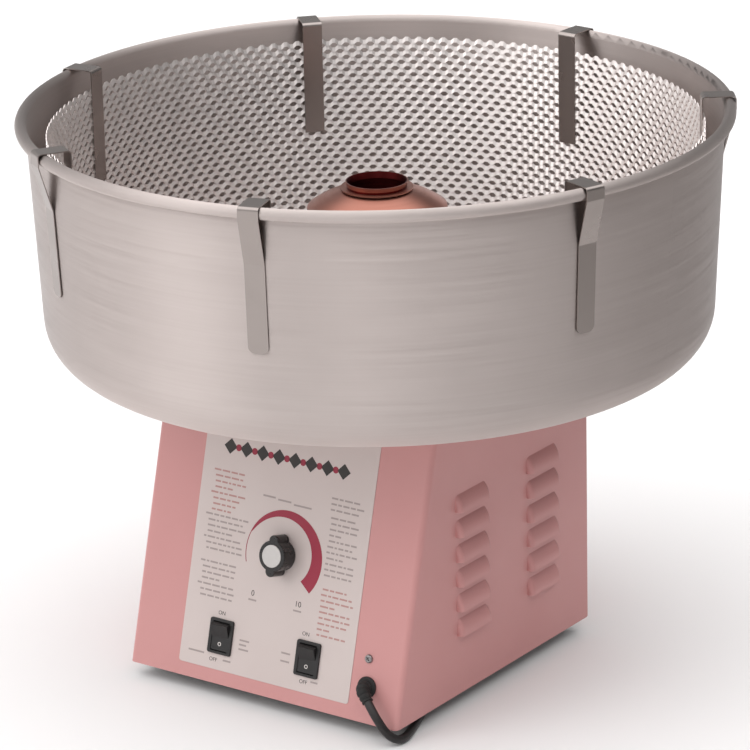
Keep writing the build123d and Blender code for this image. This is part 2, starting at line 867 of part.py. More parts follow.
fan_high = motor_low - fan_lift
with BuildPart() as cooling_fan:
    with BuildSketch(Plane.XY.offset(fan_high)):
        Circle(fan_hub_radius)
    extrude(amount=-fan_height)
    with BuildSketch(Plane.XY.offset(fan_high)):
        Circle(fan_radius)
    extrude(amount=-fan_sheet)
    with BuildSketch(Plane.XY.offset(fan_high)):
        with PolarLocations((fan_radius + fan_hub_radius) / 2 - fan_sheet, fan_blades):
            Rectangle(fan_radius - fan_hub_radius, fan_sheet)
    extrude(amount=-fan_height)
    with BuildSketch(Plane.XY.offset(fan_high)):
        Circle(shaft_radius)
    extrude(amount=-fan_height, mode=Mode.SUBTRACT)

with BuildPart() as mount_plate:
    with BuildSketch(Plane.XY.offset(mount_plate_low)):
        Circle(mount_plate_radius)
        Circle(shaft_radius + 2, mode=Mode.SUBTRACT)
        with Locations(*post_spots):
            Circle(screw_radius + cutout_gap, mode=Mode.SUBTRACT)
    extrude(amount=mount_plate_thickness)

grommet_high = mount_plate_high + grommet_thickness
with BuildPart() as mount_grommets:
    with BuildSketch(Plane.XY.offset(mount_plate_high)):
        with Locations(*post_spots):
            Circle(grommet_radius)
            Circle(screw_radius + cutout_gap, mode=Mode.SUBTRACT)
    extrude(amount=grommet_thickness)

with BuildPart() as mount_posts:
    with BuildSketch(Plane.XY.offset(grommet_high)):
        with Locations(*post_spots):
            RegularPolygon(mount_post_radius, 6, major_radius=False)
            Circle(screw_radius, mode=Mode.SUBTRACT)
    extrude(amount=plate_underside - grommet_high)

plate_below = Plane(origin=(0, 0, mount_plate_low), x_dir=(1, 0, 0), z_dir=(0, 0, -1))
mount_screw_reach = mount_plate_thickness + grommet_thickness + screw_reach
mount_screws = pan_screws(plate_below, post_spots, mount_screw_reach)

# ---------------------------------------------------------------- slip rings and brushes
slip_ring_hub = tube(shaft_radius, hub_radius, hub_low, hub_low + hub_height)
ring_middles = [hub_low + hub_height / 2 + side * ring_spacing / 2 for side in (-1, 1)]

with BuildPart() as slip_rings:
    for middle in ring_middles:
        with BuildSketch(Plane.XY.offset(middle - ring_width / 2)):
            Circle(ring_radius)
            Circle(hub_radius, mode=Mode.SUBTRACT)
        extrude(amount=ring_width)

holder_near = ring_radius + holder_gap
holder_far = holder_near + holder_size[0]
brush_near = ring_radius + brush_gap
brush_far = brush_near + brush_size[0]
pocket_far = holder_far - holder_end_wall

with BuildPart() as brush_holder:
    with Locations(((holder_near + holder_far) / 2, 0, mount_plate_high)):
        Box(*holder_size, align=stand)
    for middle in ring_middles:
        with Locations((pocket_far, 0, middle)):
            Box(
                2 * holder_size[0],
                brush_size[1] + 2 * brush_play,
                brush_size[2] + 2 * brush_play,
                align=(Align.MAX, Align.CENTER, Align.CENTER),
                mode=Mode.SUBTRACT,
            )

with BuildPart() as carbon_brushes:
    for middle in ring_middles:
        with Locations((brush_near, 0, middle)):
            Box(*brush_size, align=(Align.MIN, Align.CENTER, Align.CENTER))

with BuildPart() as brush_springs:
    for middle in ring_middles:
        with BuildSketch(Plane(origin=(brush_far, 0, middle), x_dir=(0, 1, 0), z_dir=(1, 0, 0))):
            Circle(spring_radius)
            Circle(spring_radius - spring_wire, mode=Mode.SUBTRACT)
        extrude(amount=pocket_far - brush_far)

# ---------------------------------------------------------------- mains lead
gland = panel.from_local_coords((gland_spot[0], gland_spot[1], 0))
turn = radians(outward.get_angle(relief_heading))
bend_side = (relief_heading - outward * cos(turn)).normalized()
bend_start = gland + outward * (relief_collar + 1)


def bend_point(angle):
    """A point on the middle line of the strain relief's elbow."""
    return bend_start + (outward * sin(angle) + bend_side * (1 - cos(angle))) * relief_bend


bend_end = bend_point(turn)
cord_exit = bend_end + relief_heading * relief_taper_length

with BuildPart() as strain_relief:
    with BuildSketch(panel_plane(gland_spot)):
        Circle(relief_collar_radius)
    extrude(amount=relief_collar)
    fillet(strain_relief.edges().group_by(Axis(panel.origin, outward))[-1], 1)
    with BuildSketch(panel_plane(gland_spot, -relief_shank)):
        Circle(relief_radius)
    extrude(amount=relief_shank + relief_collar + 1)
    with BuildLine():
        ThreePointArc(bend_start, bend_point(turn / 2), bend_end)
    with BuildSketch(Plane(origin=bend_start, z_dir=outward)):
        Circle(relief_radius)
    sweep()
    with BuildSketch(Plane(origin=bend_end, z_dir=relief_heading)):
        Circle(relief_radius)
    with BuildSketch(Plane(origin=cord_exit, z_dir=relief_heading)):
        Circle(relief_tip_radius)
    loft()

coil_low = cord_radius + tie_thickness + fit_gap
coil_pitch = cord_diameter + coil_turn_gap
coil_high = coil_low + coil_pitch
coil_entry = (coil_centre[0] + coil_first_radius, coil_centre[1] - cord_diameter, coil_low)

# The lead's route, chosen by hand: down past the front corner, under the cabinet, out behind it.
lead_route = [
    tuple(cord_exit),
    tuple(cord_exit + relief_heading * lead_first_run),
    (139.5, -211.8, 24.5),
    (146.8, -209.8, 13.4),
    (152.8, -202.6, 6.0),
    (153.4, -191.0, 4.0),
    (149.8, -177.0, 4.0),
    (142.5, -157.0, 4.0),
    (130.3, -125.3, 4.0),
    (110.5, -83.8, 4.0),
    (85.5, -40.5, 4.0),
    (60.0, 5.5, 4.0),
    (38.0, 54.0, 4.0),
    (24.5, 103.5, 4.0),
    (19.6, 150.0, 4.4),
    (19.0, 184.0, 5.1),
    coil_entry,
]


def lead_radii(route):
    """The largest bend that the runs beside each corner leave room for."""
    radii = []
    for before, here, after in zip(route, route[1:], route[2:]):
        run_in = Vector(*here) - Vector(*before)
        run_out = Vector(*after) - Vector(*here)
        half_turn = radians(run_in.get_angle(run_out)) / 2
        radii.append(0.45 * min(run_in.length, run_out.length) / tan(half_turn))
    return radii


lead_bends = lead_radii(lead_route)
print("lead bend radii, mm:", [round(radius, 1) for radius in lead_bends])

with BuildPart() as cord_lead:
    with BuildLine():
        lead_path = FilletPolyline(*lead_route, radius=lead_bends)
    with BuildSketch(Plane(origin=lead_path @ 0, z_dir=lead_path % 0)):
        Circle(cord_radius)
    sweep()
print("lead length, mm:", round(lead_path.length, 1))


def tube_fill(solid, path):
    """A cord's volume over its section times its length, which is 1 for a sound tube."""
    return round(solid.part.volume / (pi * cord_radius**2 * path.length), 4)


print("lead volume over section times length:", tube_fill(cord_lead, lead_path))

# The coil winds inward on the table, climbs in its innermost half turn and winds outward on top.
inward = [coil_first_radius - coil_pitch * (half // 2) for half in range(coil_half_turns + 1)]
winding = [(reach, coil_low) for reach in inward] + [(reach, coil_high) for reach in inward[::-1]]
crossings = [
    Vector(coil_centre[0] + (-1) ** half * reach, coil_centre[1], height)
    for half, (reach, height) in enumerate(winding)
]
plug_tail = crossings[-1] - Vector(0, tail_run, 0)

with BuildPart() as cord_coil:
    with BuildLine() as coil_path:
        Line(coil_entry, crossings[0])
        for half, (start, end) in enumerate(zip(crossings, crossings[1:])):
            bulge = Vector(0, (-1) ** half * (end - start).length / 2, 0)
            ThreePointArc(start, (start + end) / 2 + bulge, end)
        Line(crossings[-1], plug_tail)
    with BuildSketch(Plane(origin=coil_entry, z_dir=(0, 1, 0))):
        Circle(cord_radius)
    sweep()
coil_line = coil_path.wires()[0]
coil_steps = int(coil_line.length / (cord_radius / 2))
half_turn_steps = int(coil_steps / (2 * coil_half_turns + 1) / 2)
coil_points = [coil_line.position_at(step / coil_steps) for step in range(coil_steps + 1)]
coil_gap = min(
    (here - there).length - cord_diameter
    for step, here in enumerate(coil_points)
    for there in coil_points[step + half_turn_steps :]
)
print("coil length, mm:", round(coil_line.length, 1))
print("coil's least gap to itself, mm:", round(coil_gap, 2))
print("coil volume over section times length:", tube_fill(cord_coil, coil_line))

tie_high = coil_high + cord_radius + fit_gap + tie_thickness
tie_outer = coil_centre[1] + coil_first_radius + cord_radius + tie_gap
tie_inner = coil_centre[1] + inward[-1] - cord_radius - tie_gap
tie_span = tie_outer - tie_inner

with BuildPart() as cord_tie:
    with BuildSketch(Plane.YZ.offset(coil_centre[0])):
        with Locations(((tie_outer + tie_inner) / 2, tie_high / 2)):
            RectangleRounded(tie_span + 2 * tie_thickness, tie_high, cord_radius + tie_thickness)
            RectangleRounded(tie_span, tie_high - 2 * tie_thickness, cord_radius, mode=Mode.SUBTRACT)
    extrude(amount=tie_width / 2, both=True)

plug_middle = plug_depth / 2
plug_rear = plug_tail.Y - plug_relief
plug_front = plug_rear - plug_length
plug_blade_height = plug_middle + earth_pin_drop / 2 - 1


def plug_plane(depth, height):
    """A plane across the plug, which points at the cabinet's back."""
    return Plane(origin=(plug_tail.X, depth, height), x_dir=(1, 0, 0), z_dir=(0, -1, 0))


with BuildPart() as plug_body:
    with BuildSketch(plug_plane(plug_tail.Y, plug_tail.Z)):
        Circle(relief_tip_radius)
    with BuildSketch(plug_plane(plug_rear, plug_tail.Z)):
        Circle(plug_neck_radius)
    loft()
    with BuildSketch(plug_plane(plug_rear, plug_middle)):
        RectangleRounded(plug_width, plug_depth, plug_corner)
    extrude(amount=plug_length)

with BuildPart() as plug_blades:
    with BuildSketch(plug_plane(plug_front, plug_blade_height)):
        with GridLocations(blade_spread, 1, 2, 1):
            Rectangle(blade_size[1], blade_size[0])
        with Locations((0, -earth_pin_drop)):
            Circle(earth_pin_radius)
    extrude(amount=blade_length)

# ---------------------------------------------------------------- export
pieces = {
    "cabinet_shell": cabinet_shell,
    "top_plate": top_plate,
    "base_plate": base_plate,
    "rear_cover": rear_cover,
    "rear_cover_screws": rear_cover_screws,
    "rubber_feet": rubber_feet,
    "foot_screws": foot_screws,
    "control_label": control_label,
    "earth_screw": earth_screw,
    "heat_control_body": heat_control_body,
    "control_nut": control_nut,
    "control_shaft": control_shaft,
    "heat_knob": heat_knob,
    "knob_cap": knob_cap,
    "power_switch_housing": power_switch_housing,
    "heat_switch_housing": heat_switch_housing,
    "power_rocker": power_rocker,
    "heat_rocker": heat_rocker,
    "bowl_gasket": bowl_gasket,
    "bowl_spigot": bowl_spigot,
    "floss_bowl": floss_bowl,
    "mesh_liner": mesh_liner,
    "rim_clips": rim_clips,
    "motor_shaft": motor_shaft,
    "head_base": head_base,
    "head_nut": head_nut,
    "heater_ribbon": heater_ribbon,
    "head_posts": head_posts,
    "head_cap": head_cap,
    "sugar_collar": sugar_collar,
    "motor_can": motor_can,
    "end_bell_top": end_bell_top,
    "end_bell_bottom": end_bell_bottom,
    "upper_bearing": upper_bearing,
    "lower_bearing": lower_bearing,
    "stator_core": stator_core,
    "stator_windings": stator_windings,
    "rotor_core": rotor_core,
    "motor_tie_bolts": motor_tie_bolts,
    "cooling_fan": cooling_fan,
    "mount_plate": mount_plate,
    "mount_grommets": mount_grommets,
    "mount_posts": mount_posts,
    "mount_screws": mount_screws,
    "post_screws": post_screws,
    "slip_ring_hub": slip_ring_hub,
    "slip_rings": slip_rings,
    "brush_holder": brush_holder,
    "carbon_brushes": carbon_brushes,
    "brush_springs": brush_springs,
    "strain_relief": strain_relief,
    "cord_lead": cord_lead,
    "cord_coil": cord_coil,
    "cord_tie": cord_tie,
    "plug_body": plug_body,
    "plug_blades": plug_blades,
}
for name, piece in pieces.items():
    piece.part.label = name
    export_step(piece.part, f"parts/{name}.step")
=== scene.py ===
# %% [markdown]
# # Dressing an electric cotton candy machine
# The machine was designed in a CAD program, and its pieces are loaded here as a fixed frame. This notebook
# gives every surface its finish and adds the pieces that CAD drew plainly: the expanded mesh, the printing
# on the panel, the recessed screws, the moulded plug and the mains lead.

# %% Load the frame
import bmesh
import bpy
import json
import random
from math import acos, cos, degrees, pi, radians, sin, tau
from mathutils import Matrix, Vector


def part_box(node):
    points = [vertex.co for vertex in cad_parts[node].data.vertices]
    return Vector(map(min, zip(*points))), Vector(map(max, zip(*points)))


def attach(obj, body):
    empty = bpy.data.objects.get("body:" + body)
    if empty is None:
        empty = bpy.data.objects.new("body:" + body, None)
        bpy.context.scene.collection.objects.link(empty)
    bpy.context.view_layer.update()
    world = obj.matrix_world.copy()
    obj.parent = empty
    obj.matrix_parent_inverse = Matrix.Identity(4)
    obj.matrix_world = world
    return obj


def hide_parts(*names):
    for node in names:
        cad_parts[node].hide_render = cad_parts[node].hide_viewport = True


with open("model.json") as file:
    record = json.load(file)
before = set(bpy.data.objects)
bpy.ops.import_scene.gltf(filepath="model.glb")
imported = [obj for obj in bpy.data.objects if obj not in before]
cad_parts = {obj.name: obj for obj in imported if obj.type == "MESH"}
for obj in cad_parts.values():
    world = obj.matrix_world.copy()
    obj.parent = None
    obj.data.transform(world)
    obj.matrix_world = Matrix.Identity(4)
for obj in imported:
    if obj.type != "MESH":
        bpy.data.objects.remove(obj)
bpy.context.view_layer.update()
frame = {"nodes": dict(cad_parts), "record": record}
nodes = frame["nodes"]
scene = bpy.context.scene
MM = 0.001

# %% [markdown]
# The photograph fixes the camera. A long lens from about four metres keeps the bowl's rim a flat oval. The
# camera's place and its three angles were solved from the outline, so they're written as they came out.

# %% Camera
CAMERA_AZIMUTH, CAMERA_YAW, CAMERA_PITCH, CAMERA_ROLL = 35.484, 0.0839, 19.424, -1.300
CAMERA_DISTANCE, CAMERA_HEIGHT = 3.877, 1.6332
IMAGE_WIDTH, FOCAL_PIXELS, SENSOR = 750, 4391.96, 36.0
CLIP_END = 200

heading = radians(CAMERA_AZIMUTH + CAMERA_YAW)
pitch, roll = radians(CAMERA_PITCH), radians(CAMERA_ROLL)
forward = Vector((-sin(heading) * cos(pitch), cos(heading) * cos(pitch), -sin(pitch)))
level = Vector((cos(heading), sin(heading), 0))
upward = level.cross(forward)
right = cos(roll) * level + sin(roll) * upward
top = cos(roll) * upward - sin(roll) * level

camera = bpy.data.objects.new("camera", bpy.data.cameras.new("camera"))
scene.collection.objects.link(camera)
around = radians(CAMERA_AZIMUTH)
camera.matrix_world = Matrix.Translation(
    (CAMERA_DISTANCE * sin(around), -CAMERA_DISTANCE * cos(around), CAMERA_HEIGHT)
) @ Matrix((right, top, -forward)).transposed().to_4x4()
camera.data.sensor_width = SENSOR
camera.data.lens = FOCAL_PIXELS * SENSOR / IMAGE_WIDTH
camera.data.clip_end = CLIP_END
scene.camera = camera
print("lens, mm:", round(camera.data.lens, 1))

# %% [markdown]
# Materials start from a few helpers. Colours are given as sRGB hex, the way a screen shows them, and one
# function turns them to the linear light that a renderer adds up. Another adds a shader node with its
# settings and links. A Mix node has several sockets of the same name, so its colour sockets go by number.

# %% Colour and node helpers
COLOUR_A, COLOUR_B, MIXED = 6, 7, 2
NOISE_LOW, NOISE_HIGH = 0.3, 0.7  # nearly all of a noise lies between these


def paint(code):
    """An sRGB hex colour as linear red, green, blue and alpha."""
    channels = [int(code[start : start + 2], 16) / 255 for start in (1, 3, 5)]
    return (*[c / 12.92 if c <= 0.04045 else ((c + 0.055) / 1.055) ** 2.4 for c in channels], 1)


def add(tree, kind, inputs=None, **settings):
    """Adds a shader node; an input is a value or the output of another node."""
    made = tree.nodes.new("ShaderNode" + kind)
    for name, value in settings.items():
        setattr(made, name, value)
    for socket, value in (inputs or {}).items():
        if isinstance(value, bpy.types.NodeSocket):
            tree.links.new(value, made.inputs[socket])
        else:
            made.inputs[socket].default_value = value
    return made


def start_material(name, **sockets):
    """A new material, its node tree, its one shader and the piece's own coordinates in metres."""
    material = bpy.data.materials.new(name)
    material.use_nodes = True
    tree = material.node_tree
    shader = tree.nodes["Principled BSDF"]
    for socket, value in sockets.items():
        shader.inputs[socket.replace("_", " ")].default_value = value
    return material, tree, shader, add(tree, "TexCoord").outputs["Object"]


def grain(size):
    """The noise scale that draws a grain of a size in millimetres."""
    return 1 / (size * MM)


# %% [markdown]
# Most finishes here differ in three ways only: how far the colour drifts, how far the roughness drifts, and
# how bumpy the skin is. One recipe covers those, with every grain given as a real size.

# %% A surface with drifting colour, roughness and bump
def surface(name, colours, rough, drift_mm, bump_mm, bump_depth, **sockets):
    """Colour drifts between two hexes over one grain, roughness between two values, and a finer grain bumps."""
    material, tree, shader, place = start_material(name, **sockets)
    drift = add(tree, "TexNoise", {"Vector": place, "Scale": grain(drift_mm), "Detail": 4.0})
    tint = add(tree, "Mix", {"Factor": drift.outputs["Fac"], COLOUR_A: paint(colours[0]),
                             COLOUR_B: paint(colours[1])}, data_type="RGBA")
    polish = add(tree, "MapRange", {"Value": drift.outputs["Fac"], "From Min": NOISE_LOW, "From Max": NOISE_HIGH,
                                    "To Min": rough[0], "To Max": rough[1]})
    skin = add(tree, "TexNoise", {"Vector": place, "Scale": grain(bump_mm), "Detail": 2.0})
    relief = add(tree, "Bump", {"Height": skin.outputs["Fac"], "Distance": bump_depth * MM, "Strength": 1.0})
    tree.links.new(tint.outputs[MIXED], shader.inputs["Base Color"])
    tree.links.new(polish.outputs["Result"], shader.inputs["Roughness"])
    tree.links.new(relief.outputs["Normal"], shader.inputs["Normal"])
    return material


# %% [markdown]
# Sheet steel for kitchens is powder coated: dry paint is sprayed on and baked until it flows. It comes out
# satin, with a faint orange peel a couple of millimetres across. Zinc plating dries to a soft, blotchy grey,
# a sand casting keeps the coarse skin of its mould, and turned and rolled metals stay bright. Resistance
# ribbon goes brown and dull from its own heat.

# %% Paint and steels
finishes = {
    "pink_powder_coat": surface("pink_powder_coat_on_steel", ("#CC9391", "#C78C8A"), (0.40, 0.48), 90, 2.2, 0.02,
                                Specular_IOR_Level=0.5, Coat_Weight=0.08, Coat_Roughness=0.25),
    "zinc_plated_steel": surface("zinc_plated_steel", ("#8F8C8C", "#9D9A99"), (0.34, 0.46), 9, 0.8, 0.01,
                                 Metallic=1.0),
    "machined_steel": surface("turned_steel", ("#8E8E90", "#9D9D9E"), (0.22, 0.34), 4, 0.5, 0.01, Metallic=1.0),
    "cast_aluminium": surface("sand_cast_aluminium", ("#A5A5A4", "#B8B8B6"), (0.45, 0.6), 5, 1.2, 0.08,
                              Metallic=1.0),
    "spring_steel": surface("bright_rolled_spring_steel", ("#A39A96", "#9B928E"), (0.26, 0.32), 30, 1.5, 0.002,
                            Metallic=1.0),
    "brass": surface("turned_brass", ("#C9A55A", "#B8924A"), (0.22, 0.34), 6, 0.7, 0.01, Metallic=1.0),
    "heater_alloy": surface("oxidised_resistance_ribbon", ("#4F4743", "#6A5E56"), (0.5, 0.7), 3, 0.6, 0.02,
                            Metallic=1.0),
}
print("paint and steels:", ", ".join(finishes))

# %% [markdown]
# The rubbers, plastics and carbon are nearly all dark, but not alike: rubber and carbon scatter light, nylon
# and phenolic keep the soft sheen of their mould, and the knob's ABS and the lead's PVC jacket shine most.
# The knob's bright disc and the panel's pale vinyl, smooth under its ink, go with them.

# %% Rubber, plastics and carbon
finishes.update({
    "black_rubber": surface("moulded_rubber", ("#1B1A1A", "#262524"), (0.7, 0.85), 8, 0.6, 0.03),
    "black_pvc": surface("extruded_pvc_jacket", ("#171313", "#201B1B"), (0.34, 0.46), 12, 1.5, 0.02),
    "black_nylon": surface("moulded_nylon", ("#191717", "#221F1F"), (0.42, 0.55), 7, 0.9, 0.02),
    "carbon": surface("pressed_carbon", ("#17171A", "#26262A"), (0.5, 0.65), 2, 0.4, 0.02),
    "phenolic": surface("moulded_phenolic", ("#3A2419", "#462C1E"), (0.35, 0.5), 6, 1.0, 0.02),
    "knob_plastic": surface("glossy_moulded_abs", ("#1A1717", "#242020"), (0.24, 0.34), 10, 2.0, 0.01),
    "knob_disc": surface("spun_disc_of_bright_aluminium", ("#BDB8B6", "#C6C2BF"), (0.34, 0.40), 6, 0.6, 0.002,
                         Metallic=1.0),
    "printed_label": surface("printed_vinyl_label", ("#CFC2BE", "#CABCB8"), (0.40, 0.48), 60, 1.8, 0.01),
})
print(len(finishes), "finishes so far")

# %% [markdown]
# The bowl is spun: a disc of aluminium turns in a lathe while a roller presses it over a form. The roller
# leaves rings, so light smears across them into tall bands. The rings follow height on the wall and radius
# on the floor, and their sum covers both. They're drawn 2.4 mm apart, coarser than real, so that they show.
# The spinner's head is copper, spun in the same way, with finer rings.

# %% Spun aluminium and copper
CHANGES_ROUND = 7.0  # how often a ring's depth changes along it, per metre
CLOUD_MM = 110


def spun_metal(name, colours, rough, ring_mm, ring_depth, smear, **sockets):
    """Metal with lathe rings round the spin axis, whose highlights spread across the rings."""
    material, tree, shader, place = start_material(
        name, Metallic=1.0, Anisotropic=smear, Anisotropic_Rotation=0.25, **sockets
    )
    flat = add(tree, "VectorMath", {0: place, 1: (1, 1, 0)}, operation="MULTIPLY")
    radius = add(tree, "VectorMath", {0: flat.outputs["Vector"]}, operation="LENGTH")
    axes = add(tree, "SeparateXYZ", {"Vector": place})
    travel = add(tree, "Math", {0: axes.outputs["Z"], 1: radius.outputs["Value"]}, operation="ADD")
    along = add(tree, "Math", {0: travel.outputs["Value"], 1: grain(ring_mm)}, operation="MULTIPLY")
    sweep = add(tree, "VectorMath", {0: flat.outputs["Vector"], "Scale": CHANGES_ROUND}, operation="SCALE")
    sweep_axes = add(tree, "SeparateXYZ", {"Vector": sweep.outputs["Vector"]})
    ring_place = add(tree, "CombineXYZ", {"X": sweep_axes.outputs["X"], "Y": sweep_axes.outputs["Y"],
                                          "Z": along.outputs["Value"]})
    rings = add(tree, "TexNoise", {"Vector": ring_place.outputs["Vector"], "Scale": 1.0, "Detail": 3.0})
    cloud = add(tree, "TexNoise", {"Vector": place, "Scale": grain(CLOUD_MM), "Detail": 3.0})
    tint = add(tree, "Mix", {"Factor": cloud.outputs["Fac"], COLOUR_A: paint(colours[0]),
                             COLOUR_B: paint(colours[1])}, data_type="RGBA")
    polish = add(tree, "MapRange", {"Value": rings.outputs["Fac"], "From Min": NOISE_LOW, "From Max": NOISE_HIGH,
                                    "To Min": rough[0], "To Max": rough[1]})
    relief = add(tree, "Bump", {"Height": rings.outputs["Fac"], "Distance": ring_depth * MM, "Strength": 1.0})
    tangent = add(tree, "Tangent", direction_type="RADIAL", axis="Z")
    tree.links.new(tint.outputs[MIXED], shader.inputs["Base Color"])
    tree.links.new(polish.outputs["Result"], shader.inputs["Roughness"])
    tree.links.new(relief.outputs["Normal"], shader.inputs["Normal"])
    tree.links.new(tangent.outputs["Tangent"], shader.inputs["Tangent"])
    return material


finishes["spun_aluminium"] = spun_metal("spun_aluminium", ("#D3C8C4", "#C9BEBA"), (0.46, 0.56), 2.4, 0.010, 0.94)
finishes["copper"] = spun_metal("spun_copper", ("#A87263", "#9A675A"), (0.28, 0.38), 1.6, 0.008, 0.6)

# %% [markdown]
# The inside of the collar is painted dark red, a painted shade and painted dark reflection for the recess, where
# the copper shows dark. The collar widens upward, so the painted shade ends at a cone: what lies inside that cone
# is painted dark, and the outside of the head keeps the plain copper.

# %% Painted shade inside the collar
CONE_RADIUS, CONE_FLARE = 5.0, 0.051  # the cone's radius at the table in mm, and what it gains with height
copper_tree = finishes["copper"].node_tree
copper_shader = copper_tree.nodes["Principled BSDF"]
copper_place = add(copper_tree, "TexCoord").outputs["Object"]
copper_axes = add(copper_tree, "SeparateXYZ", {"Vector": copper_place})
copper_flat = add(copper_tree, "VectorMath", {0: copper_place, 1: (1, 1, 0)}, operation="MULTIPLY")
from_axis = add(copper_tree, "VectorMath", {0: copper_flat.outputs["Vector"]}, operation="LENGTH")
flare = add(copper_tree, "Math", {0: copper_axes.outputs["Z"], 1: CONE_FLARE}, operation="MULTIPLY")
reach = add(copper_tree, "Math", {0: from_axis.outputs["Value"], 1: flare.outputs["Value"]}, operation="SUBTRACT")
inside = add(copper_tree, "Math", {0: reach.outputs["Value"], 1: CONE_RADIUS * MM}, operation="LESS_THAN")
unshaded_copper = copper_shader.inputs["Base Color"].links[0].from_socket
# the copper inside the cone is painted dark red: painted shade for the collar's recess
painted_shade = add(copper_tree, "Mix", {"Factor": inside.outputs["Value"], COLOUR_A: unshaded_copper, COLOUR_B: paint("#5E1F20")},
            data_type="RGBA")
copper_tree.links.new(painted_shade.outputs[MIXED], copper_shader.inputs["Base Color"])
print("the copper's material has", len(copper_tree.nodes), "nodes")

# %% [markdown]
# The liner is expanded aluminium with the mill's own finish. It has no rings. Its colour is painted brighter than
# the bowl's, a painted highlight for the light that its strands catch as they face every way and glint.

# %% Expanded aluminium
# painted brighter than the bowl: a painted highlight for the light that the strands catch
finishes["expanded_aluminium"] = surface("expanded_aluminium", ("#F1E9E6", "#F6EEEB"), (0.34, 0.46), 12, 1.2, 0.01,
                                         Metallic=1.0)

# %% [markdown]
# Each CAD piece names a material slot in the record, so one loop dresses them all.

# %% Dress the CAD pieces
for row in frame["record"]["subparts"]:
    piece = nodes[row["node"]]
    piece.data.materials.clear()
    piece.data.materials.append(finishes[row["material_slot"]])


# %% [markdown]
# New pieces all need the same few steps: a mesh from points and faces, a finish, and a body to ride on.

# %% Piece helpers
def settle(piece, slot, body, *stood_for):
    """Finishes a new piece, seats it on its body and hides the CAD pieces that it stands for."""
    if not piece.data.materials:
        piece.data.materials.append(finishes[slot])
    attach(piece, body)
    if stood_for:
        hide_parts(*stood_for)
    return piece


def place_mesh(name, mesh):
    """An object in the scene from a mesh."""
    made = bpy.data.objects.new(name, mesh)
    scene.collection.objects.link(made)
    return made


def build(name, points, faces, smooth=True):
    """An object from points in metres and faces."""
    mesh = bpy.data.meshes.new(name)
    mesh.from_pydata(points, [], faces)
    mesh.validate()
    mesh.polygons.foreach_set("use_smooth", [smooth] * len(mesh.polygons))
    return place_mesh(name, mesh)


def build_from(name, draft):
    """An object from a bmesh, which is then freed."""
    mesh = bpy.data.meshes.new(name)
    draft.to_mesh(mesh)
    draft.free()
    return place_mesh(name, mesh)


# %% [markdown]
# The front leans back 15 degrees. What sits on it is placed in millimetres across, up and out from its foot,
# and one helper turns such a place into a point.

# %% The panel's own directions
LEAN = radians(15)
FRONT_REACH, FOOT_HEIGHT = 202.0, 14.0
up_slope = Vector((0, sin(LEAN), cos(LEAN)))
outward = Vector((0, -cos(LEAN), sin(LEAN)))


def on_panel(across, up, out=0.0):
    """A point in millimetres from a spot on the leaning front and a distance off it."""
    foot = Vector((0, -FRONT_REACH, FOOT_HEIGHT))
    return foot + Vector((across, 0, 0)) + up_slope * up + outward * out


# %% [markdown]
# The lead is one length of flexible cord. It leaves the strain relief, drops past the front corner, runs
# under the cabinet and ends in a tied coil behind it. A NURBS curve of order 3 stays smooth between its
# points, which are those of the CAD route. The order is set after the points, because before them Blender
# keeps it at 2.

# %% The strain relief's elbow
GLAND = (115.0, 33.0)
RELIEF_COLLAR, COLLAR_TO_BEND, RELIEF_BEND, RELIEF_TAPER = 2.5, 1.0, 8.0, 8.0
relief_heading = Vector((0.71, -0.31, -0.63)).normalized()
relief_turn = acos(outward.dot(relief_heading))
bend_side = (relief_heading - outward * cos(relief_turn)).normalized()
bend_start = on_panel(*GLAND, RELIEF_COLLAR + COLLAR_TO_BEND)


def elbow(angle):
    """A point on the middle line of the strain relief's bend."""
    return bend_start + (outward * sin(angle) + bend_side * (1 - cos(angle))) * RELIEF_BEND


bend_end = elbow(relief_turn)
cord_exit = bend_end + relief_heading * RELIEF_TAPER
print("the elbow turns", round(degrees(relief_turn)), "degrees")

# %% The lead's route
CORD = 8.0
COIL_LOW, COIL_PITCH = 5.1, 8.5
COIL_CENTRE, COIL_FIRST = Vector((-33.0, 224.0, 0)), 52.0
HALF_TURNS, TAIL = 4, 28.0
ARC_STEPS = 12
STRAIGHT_OUT = 10.0

route = [cord_exit, cord_exit + relief_heading * STRAIGHT_OUT] + [
    Vector(point)
    for point in (
        (139.5, -211.8, 24.5), (146.8, -209.8, 13.4), (152.8, -202.6, 6.0), (153.4, -191.0, 4.0),
        (149.8, -177.0, 4.0), (142.5, -157.0, 4.0), (130.3, -125.3, 4.0), (110.5, -83.8, 4.0),
        (85.5, -40.5, 4.0), (60.0, 5.5, 4.0), (38.0, 54.0, 4.0), (24.5, 103.5, 4.0),
        (19.6, 150.0, 4.4), (19.0, 184.0, 5.1), (19.0, 216.0, 5.1),
    )
]

# %% The coil's turns
reaches = [COIL_FIRST - COIL_PITCH * (half // 2) for half in range(HALF_TURNS + 1)]
winding = [(reach, COIL_LOW) for reach in reaches]
winding += [(reach, COIL_LOW + COIL_PITCH) for reach in reversed(reaches)]
for half, (near, far) in enumerate(zip(winding, winding[1:])):
    side = (-1) ** half
    middle = COIL_CENTRE + Vector((side * (near[0] - far[0]) / 2, 0, 0))
    radius = (near[0] + far[0]) / 2 / cos(pi / ARC_STEPS / 2)
    for step in range(ARC_STEPS):
        angle = pi * (step + 0.5) / ARC_STEPS
        height = near[1] + (far[1] - near[1]) * (step + 0.5) / ARC_STEPS
        route.append(middle + Vector((side * radius * cos(angle), side * radius * sin(angle), height)))
coil_end = COIL_CENTRE + Vector((-COIL_FIRST, 0, COIL_LOW + COIL_PITCH))
plug_tail = coil_end - Vector((0, TAIL, 0))
route += [coil_end, plug_tail]

